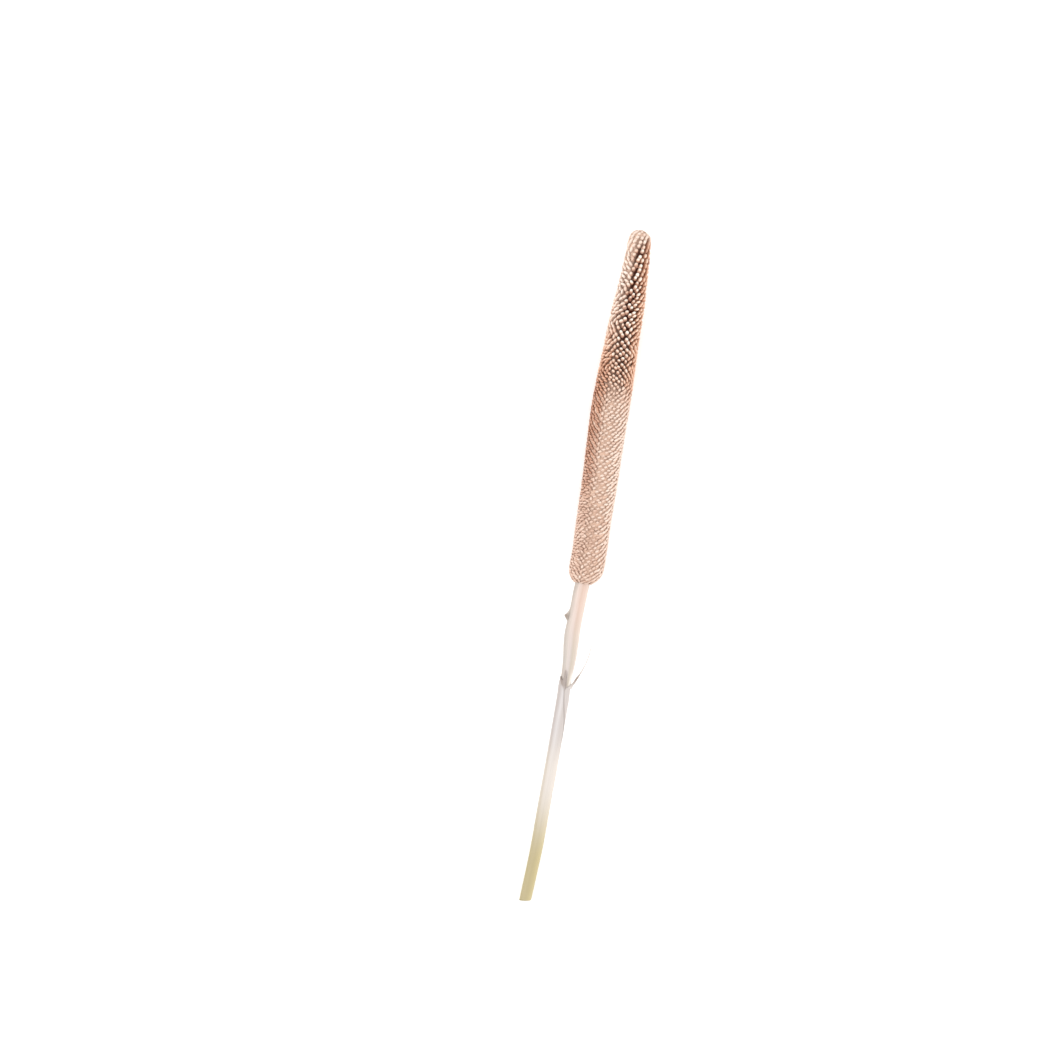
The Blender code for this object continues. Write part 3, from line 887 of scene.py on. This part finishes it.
def grain_frames(reach, angle, rng):
    """Three vectors for each grain, which leans up the head and is stretched along its line of grains."""
    count = len(reach)
    sideways = ease((np.abs(np.cos(angle)) - FLANK_FROM) / FLANK_OVER)
    leaning = 1.0 - SIDE_UPRIGHT * sideways
    lean = (GRAIN_LEAN + rng.normal(0.0, GRAIN_LEAN_VARIES, count)) * hump(reach, *GRAIN_LEANS) * leaning
    swing = rng.normal(0.0, GRAIN_SWING_VARIES, count) * leaning
    turn, distance = grain_lines(reach, angle, rng)
    frames = surface_frames(reach, angle, lean, swing, turn)
    narrowing = (1.0 - LINE_NARROWING + LINE_NARROWING / distance) * (1.0 - SIDE_THINNING * sideways)
    lengthening = 1.0 - LINE_LENGTHENING + LINE_LENGTHENING * distance
    frames[:, 0] *= narrowing[:, None]
    frames[:, 1] *= lengthening[:, None]
    frames[:, 1] *= 1.0 + SIDE_STRETCH * (sideways * rng.uniform(*SIDE_STRETCH_VARIES, count))[:, None]
    return frames


def make_seed_head():
    rng = np.random.default_rng(HEAD_SEED)
    reach, angle = grain_places(rng)
    count = len(reach)
    frames = grain_frames(reach, angle, rng)
    crowns = place(reach, head_radius(reach), angle)
    up, across = smooth_value(ROW_DISTANCES, reach), smooth_value(GRAIN_DISTANCES, reach)
    pitch = np.sqrt(up * across) / GRAIN_PITCH
    sizes = pitch * (1.0 + rng.uniform(-GRAIN_SIZE_VARIES, GRAIN_SIZE_VARIES, count))
    tone = np.clip(rng.normal(0.0, GRAIN_TONE_VARIES, count), -1.0, 1.0)
    tint = tints(reach, angle, rng)
    soft = tint["soft"]
    frames[:, 1] *= 1.0 + SOFT_STRETCH * soft[:, None]
    frames[:, 2] *= 1.0 - SOFT_FLATNESS * soft[:, None]
    sizes = sizes * (1.0 + SOFT_GROWTH * soft)

    template, faces, crown = grain_template()
    material = grain_material()
    on_tip_half = reach < GRAIN_HALVES_MEET
    for name, chosen in (("grains_tip_half", on_tip_half), ("grains_base_half", ~on_tip_half)):
        points, all_faces = stamped(template, faces, crowns[chosen], frames[chosen], sizes[chosen])
        attributes = {key: np.repeat(values[chosen], len(template)) for key, values in tint.items()}
        attributes["crown"] = np.tile(crown, int(chosen.sum()))
        attributes["tone"] = np.repeat(tone[chosen], len(template))
        make_piece(name, on_floor(points), all_faces, attributes, material, "seed_head")

    template, faces, rim = husk_template()
    feet = crowns + frames[:, 2] * (SOFT_HUSK_STANDS * soft)[:, None]
    points, all_faces = stamped(template, faces, feet, frames, pitch)
    attributes = {key: np.repeat(values, len(template)) for key, values in tint.items()}
    attributes["rim"] = np.tile(rim, count)
    make_piece("husks", on_floor(points), all_faces, attributes, husk_material())
    make_bristles(reach, angle, rng)
    make_core()


def make_bristles(reach, angle, rng):
    """Short stiff hairs that stand between the grains and barely pass their crowns."""
    reach = np.repeat(reach[1:], BRISTLES_PER_GRAIN)
    angle = np.repeat(angle[1:], BRISTLES_PER_GRAIN)
    count = len(reach)
    radius = head_radius(reach)
    reach = reach + rng.choice([-1, 1], count) * rng.uniform(*BRISTLE_BESIDE, count)
    reach = np.clip(reach, *BRISTLE_REACHES)
    angle = angle + rng.choice([-1, 1], count) * rng.uniform(*BRISTLE_BESIDE, count) / radius
    lean = GRAIN_LEAN + rng.normal(0.0, BRISTLE_LEAN_VARIES, count)
    frames = surface_frames(reach, angle, lean, rng.normal(0.0, BRISTLE_SWING_VARIES, count))
    feet = place(reach, head_radius(reach), angle)
    top = np.clip(BRISTLE_TIP + rng.normal(0.0, BRISTLE_TIP_VARIES, count), *BRISTLE_TIP_RANGE)
    turn = circle(3)
    ring = np.stack([np.cos(turn), np.sin(turn)], -1) * BRISTLE_RADIUS
    root = feet[:, None] + frames[:, None, 2] * BRISTLE_ROOT
    root = root + np.einsum("tk,gkx->gtx", ring, frames[:, :2])
    tip = feet + frames[:, 2] * top[:, None]
    points = np.concatenate([root, tip[:, None]], axis=1).reshape(-1, 3)
    faces = []
    for hair in range(count):
        a = 4 * hair
        faces += [(a, a + 1, a + 3), (a + 1, a + 2, a + 3), (a + 2, a, a + 3), (a + 2, a + 1, a)]
    tips = np.tile([0.0, 0.0, 0.0, 1.0], count)
    make_piece("bristles", on_floor(points), faces, {"tip": tips}, bristle_material())


def make_core():
    """The dark core that shows between the husks, its dark colour partly painted shade in the gaps."""
    reach = HEAD_LENGTH * (1 - np.cos(np.linspace(0.0, pi, CORE_RINGS + 2)[1:-1])) / 2
    turn = circle(CORE_SIDES)
    soft = np.clip(over_head(SOFT, SOFT_ZONES, reach[:, None], turn), 0.0, 1.0) ** SOFT_CORE_SHARPNESS
    radius = head_radius(reach)[:, None] - CORE_DEPTH + SOFT_CORE_STANDS * soft
    radius = np.maximum(radius, CORE_LEAST_RADIUS)
    reach = np.clip(reach, *CORE_REACHES)
    points = place(reach[:, None], radius, turn)
    faces = closed_tube(CORE_RINGS, CORE_SIDES)
    make_piece("core", points, faces, {"soft": soft.ravel()}, core_material())


# Stem

def cut_reach(radius, angle):
    return STALK_LENGTH - tan(CUT_SLANT) * radius * np.cos(angle)


def make_stem():
    """A finely ribbed straw with its cut face, from inside the head to the cut."""
    reach = np.linspace(STEM_TOP, STALK_LENGTH, STEM_RINGS)[:, None]
    turn = circle(STEM_SIDES)
    inside = ease((reach - STEM_SWELLS_FROM) / STEM_SWELLS_OVER)
    wander = STEM_RIB_WANDER * np.sin(reach / STEM_RIB_WANDER_LENGTH)
    ribs = STEM_RIB_HEIGHT * np.cos(STEM_RIBS * turn + wander)
    ribs = ribs + STEM_FINE_RIB_HEIGHT * np.cos(STEM_FINE_RIBS * turn)
    shrunk = sum(height * np.sin(waves * turn + reach / length) for height, waves, length in STEM_WAVES)
    rough = (ribs + shrunk) * (1 - STEM_SMOOTHER_IN_SHEATH * inside)
    radius = stem_radius(reach) + STEM_SWELL_IN_SHEATH * inside + rough
    at = np.broadcast_to(reach, radius.shape).copy()
    at[-1] = cut_reach(radius[-1], turn)
    points = place(at, radius, turn)
    faces = closed_tube(STEM_RINGS, STEM_SIDES)
    attributes = {"around": np.tile(turn / (2 * pi), STEM_RINGS), "along": at.ravel()}
    make_piece("stem_straw", points, faces, attributes, stem_material(), "stem")
    make_cut_face(radius[-1])


def make_cut_face(radius):
    """The pith and the rind of the cut, a little uneven, just proud of the stem's flat end."""
    turn = circle(STEM_SIDES)
    share = np.linspace(1.0, CUT_MIDDLE, CUT_RINGS)[:, None]
    r = radius * share
    uneven = sum(height * np.sin(waves * turn + r * twist) for height, waves, twist in CUT_WAVES)
    at = cut_reach(r, turn) + CUT_STANDS + np.abs(uneven) * (share < CUT_EVEN_FROM)
    front = place(at, r, turn)
    back = place(cut_reach(radius, turn) - CUT_BACK_DEPTH, radius, turn)
    points = np.concatenate([back, front])
    faces = closed_tube(CUT_RINGS + 1, STEM_SIDES)
    rind = np.concatenate([np.ones(STEM_SIDES), np.repeat(share.ravel(), STEM_SIDES)])
    make_piece("cut_face", points, faces, {"rind": rind}, cut_material())


def make_bud():
    """A dry pointed bud that stands out of the stem's left side, with a crease along its back."""
    reach = np.linspace(BUD_STANDS[0][0], BUD_STANDS[-1][0], BUD_ROWS)[:, None]
    across = np.linspace(-1.0, 1.0, BUD_COLUMNS)
    bump = np.clip(1 - across**2, 0.0, 1.0) ** BUD_ROUNDNESS
    stand = smooth_value(BUD_STANDS, reach) * bump - BUD_EDGE_DEPTH * (1 - bump)
    crease = BUD_CREASE_DEPTH * np.exp(-((across - BUD_CREASE_PLACE) / BUD_CREASE_WIDTH) ** 2)
    stand = stand - crease * (stand > BUD_CREASE_FROM)
    half = smooth_value(BUD_HALF_WIDTHS, reach)
    angle = BUD_ANGLE + half * across / stem_radius(reach)
    tallest = max(height for _, height in BUD_STANDS)
    at = reach - BUD_POINT * np.clip(stand / tallest, 0.0, 1.0) ** 2
    front = place(at, stem_radius(reach) + stand, angle)
    back = place(reach + 0 * angle, stem_radius(reach) - BUD_ROOT_DEPTH, angle)
    points = np.concatenate([front, back])
    faces = sheet_faces(BUD_ROWS, BUD_COLUMNS)
    dark = np.clip(stand / BUD_DARK_STANDS, 0.0, 1.0) * ease((reach - BUD_DARK_FROM) / BUD_DARK_OVER)
    dark = BUD_LEAST_DARK + (1 - BUD_LEAST_DARK) * dark
    attributes = {"dark": np.tile(dark.ravel(), 2)}
    make_piece("bud", points, faces, attributes, bud_material())


# Leaf sheath

def sheet_faces(rows, columns):
    """Faces of a thin closed sheet: a front grid of points, then its back grid, and the four edges."""
    size = rows * columns
    faces = [f[::-1] for f in tube_faces(rows, columns, 0, closed=False)]
    faces += tube_faces(rows, columns, size, closed=False)
    for row in range(rows - 1):
        a, b = row * columns, row * columns + columns - 1
        faces.append((a, a + columns, a + columns + size, a + size))
        faces.append((b, b + size, b + columns + size, b + columns))
    last = size - columns
    for column in range(columns - 1):
        faces.append((column, column + size, column + 1 + size, column + 1))
        b = last + column
        faces.append((b, b + 1, b + 1 + size, b + size))
    return faces


def sheath_base(reach, degrees, wrap, angle):
    """The radius of the leaf's inner face, which stands off at its rim and lies close on the right."""
    crease = CREASE_HEIGHT * ease((STALK_LENGTH - reach) / CREASES_FADE_OVER)
    for creases, length in CREASES:
        crease = crease * np.sin(creases * angle + reach / length)
    flare = COLLAR_FLARE * np.clip((COLLAR_FLARES_TO - reach) / COLLAR_FLARES_OVER, 0.0, 1.0) ** 2
    for centre, width, height in TOOTH_FLARES:
        near = np.exp(-((degrees - centre) / width) ** 2)
        flare = flare + height * near * np.clip((SHEATH_MOUTH - reach) / TOOTH_FLARES_OVER, 0.0, 1.0)
    on_right = ease((np.cos(angle) - RIM_HUG_FROM) / RIM_HUG_OVER)
    hug = 1 - RIM_HUG * on_right * ease((RIM_HUGS_TO - reach) / RIM_HUGS_OVER)
    gap = hug * (SHEATH_GAP + SHEATH_LAP_RISE * wrap / (2 * pi))
    return stem_radius(np.maximum(reach, SHEATH_MOUTH)) + gap + crease + flare


def sheath_darkness(reach, start, degrees, share):
    """How dark the leaf is on its torn teeth, with the painted shadow in the groove beside its outer
    margin and along that margin's edge.
    """
    depth = smooth_value(TORN_DEPTH, degrees)
    down_tooth = 1 - ease((reach - start - TORN_FADES_FROM * depth) / (TORN_FADES_OVER * depth))
    torn = TORN_DARKNESS * hump(degrees, *BOTH_TEETH) * down_tooth
    groove = hump(sheath_wrap(reach) * (1 - share) - 2 * pi, *GROOVE_ACROSS)
    groove = np.maximum(groove, ease((share - MARGIN_EDGE[0]) / MARGIN_EDGE[1]))
    return np.maximum(torn, GROOVE_DARKNESS * groove * ease((GROOVE_ENDS - reach) / GROOVE_FADES_OVER))


def make_sheath():
    """The rolled leaf: veined on both faces, its outer margin lapping over its inner one."""
    rng = np.random.default_rng(SHEATH_SEED)
    share = np.linspace(0.0, 1.0, SHEATH_COLUMNS)
    degrees = np.degrees(INNER_MARGIN + sheath_wrap(SHEATH_MOUTH) * share)
    rise = np.interp(degrees, *np.array(RIM_RISE).T) + RIM_RIPPLE * np.sin(degrees / RIM_RIPPLE_DEGREES)
    start = SHEATH_MOUTH - rise - rng.uniform(-RIM_ROUGHNESS, RIM_ROUGHNESS, SHEATH_COLUMNS)
    down = np.linspace(0.0, 1.0, SHEATH_ROWS)[:, None] ** SHEATH_ROW_CROWDING
    reach = start + (STALK_LENGTH - start) * down
    wrap = sheath_wrap(reach) * share
    lean = np.clip((SHEATH_MOUTH - reach) / TOOTH_LEANS_OVER, 0.0, TOOTH_LEANS_MOST)
    angle = INNER_MARGIN + wrap + TOOTH_LEAN * hump(degrees, *MIDDLE_TOOTH) * lean
    base = sheath_base(reach, degrees, wrap, angle)
    vein = VEIN_HEIGHT * np.cos(VEINS * angle)
    sheets = []
    for thickness, sign in ((SHEATH_WALL, 1.0), (0.0, -1.0)):
        radius = base + thickness + sign * vein
        at = reach.copy()
        at[-1] = cut_reach(radius[-1], angle[-1])
        sheets.append(place(at, radius, angle))
    attributes = {
        "around": np.tile((angle / (2 * pi)).ravel(), 2), "along": np.tile(reach.ravel(), 2),
        "torn": np.tile(sheath_darkness(reach, start, degrees, share).ravel(), 2),
    }
    faces = sheet_faces(SHEATH_ROWS, SHEATH_COLUMNS)
    make_piece("sheath_leaf", np.concatenate(sheets), faces, attributes, sheath_material(),
               "leaf_sheath")


def make_strip():
    """The thin strip of blade that is left at the rim: a dark joint near its foot, then a pale thread."""
    reach = np.linspace(STRIP_START, STRIP_END, STRIP_STATIONS)[:, None]
    t = np.linspace(0.0, 1.0, STRIP_STATIONS)[:, None]
    turn = circle(STRIP_SIDES)
    half = smooth_value(STRIP_WIDTHS, reach) / 2
    thick = STRIP_THICKNESS / 2 * (1 - STRIP_THINNING * t)
    twist = STRIP_TWIST[0] + (STRIP_TWIST[1] - STRIP_TWIST[0]) * t
    flat = half * np.cos(turn)
    deep = np.minimum(thick, half) * np.sin(turn)
    across = smooth_value(STRIP_ACROSS, reach) + flat * np.cos(twist) - deep * np.sin(twist)
    up = smooth_value(STRIP_UP, reach) + flat * np.sin(twist) + deep * np.cos(twist)
    points = place(reach + 0 * across, across, 0.0)
    points[:, 2] += up.ravel()
    faces = closed_tube(STRIP_STATIONS, STRIP_SIDES)
    attributes = {
        "dark": np.broadcast_to(smooth_value(STRIP_DARKNESS, reach), flat.shape).ravel(),
        "around": np.tile(turn / (2 * pi), STRIP_STATIONS),
        "along": np.broadcast_to(reach, flat.shape).ravel(),
    }
    make_piece("torn_strip", points, faces, attributes, strip_material())


# Floor, light and camera

def make_floor():
    mesh = bpy.data.meshes.new("floor")
    corners = ((-1, -1), (1, -1), (1, 1), (-1, 1))
    points = [(FLOOR_HALF_SIZE * x, FLOOR_HALF_SIZE * y, 0.0) for x, y in corners]
    mesh.from_pydata(points, [], [(0, 1, 2, 3)])
    shader = Shader("floor")
    give(shader.surface, Base_Color=FLOOR_COLOUR, Roughness=0.9, Specular_IOR_Level=0.1)
    mesh.materials.append(shader.material)
    floor = bpy.data.objects.new("floor", mesh)
    floor.location = (0.0, 0.0, -FLOOR_DROP)
    bpy.context.scene.collection.objects.link(floor)


def in_picture(right, up, height):
    """A place given by how far right of and above the stalk's middle it is in the picture."""
    turn = Matrix.Rotation(LEAN_IN_PICTURE, 3, "Z")
    return turn @ Vector((right, up, height))


def make_lamp(name, position, power, colour):
    """A large round lamp that faces the stalk's middle."""
    data = bpy.data.lights.new(name, "AREA")
    data.shape = "DISK"
    data.size = LAMP_SIZE
    data.energy = power * LIGHT_LEVEL
    data.color = colour
    lamp = bpy.data.objects.new(name, data)
    lamp.location = position
    lamp.rotation_euler = (-position).to_track_quat("-Z", "Y").to_euler()
    bpy.context.scene.collection.objects.link(lamp)


def make_light():
    world = bpy.data.worlds.new("studio")
    world.use_nodes = True
    give(world.node_tree.nodes["Background"], Color=SKY_COLOUR, Strength=SKY_STRENGTH * LIGHT_LEVEL)
    bpy.context.scene.world = world
    for name, position, power, colour in LAMPS:
        make_lamp(name, in_picture(*position), power, colour)
    bpy.context.scene.view_settings.view_transform = "Standard"
    bpy.context.scene.view_settings.look = "None"


def make_camera():
    """Straight above the stalk, turned so that it leans and lies in the frame as in the photograph."""
    data = bpy.data.cameras.new("camera")
    data.lens = LENS
    data.sensor_width = SENSOR
    camera = bpy.data.objects.new("camera", data)
    middle = FRAME_PIXELS / 2
    right = (TIP_PIXEL[0] - middle) * METRES_PER_PIXEL
    up = (middle - TIP_PIXEL[1]) * METRES_PER_PIXEL
    tip = Vector((AXIS_X, TIP_Y, 0.0))
    centre = tip - in_picture(right, up, 0.0)
    distance = FRAME_PIXELS * METRES_PER_PIXEL / 2 / (SENSOR / 2 / LENS)
    camera.location = (centre.x, centre.y, VIEW_PLANE_HEIGHT + distance)
    camera.rotation_euler = (0.0, 0.0, LEAN_IN_PICTURE)
    bpy.context.scene.collection.objects.link(camera)
    bpy.context.scene.camera = camera


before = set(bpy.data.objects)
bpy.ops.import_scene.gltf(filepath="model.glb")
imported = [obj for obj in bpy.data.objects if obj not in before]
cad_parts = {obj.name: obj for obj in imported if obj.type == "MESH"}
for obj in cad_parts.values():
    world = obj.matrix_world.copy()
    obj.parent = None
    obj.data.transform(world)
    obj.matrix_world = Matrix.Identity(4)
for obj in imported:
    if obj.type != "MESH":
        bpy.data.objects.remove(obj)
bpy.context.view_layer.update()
make_seed_head()
make_stem()
make_bud()
make_sheath()
make_strip()
make_floor()
make_light()
make_camera()
bpy.context.view_layer.update()
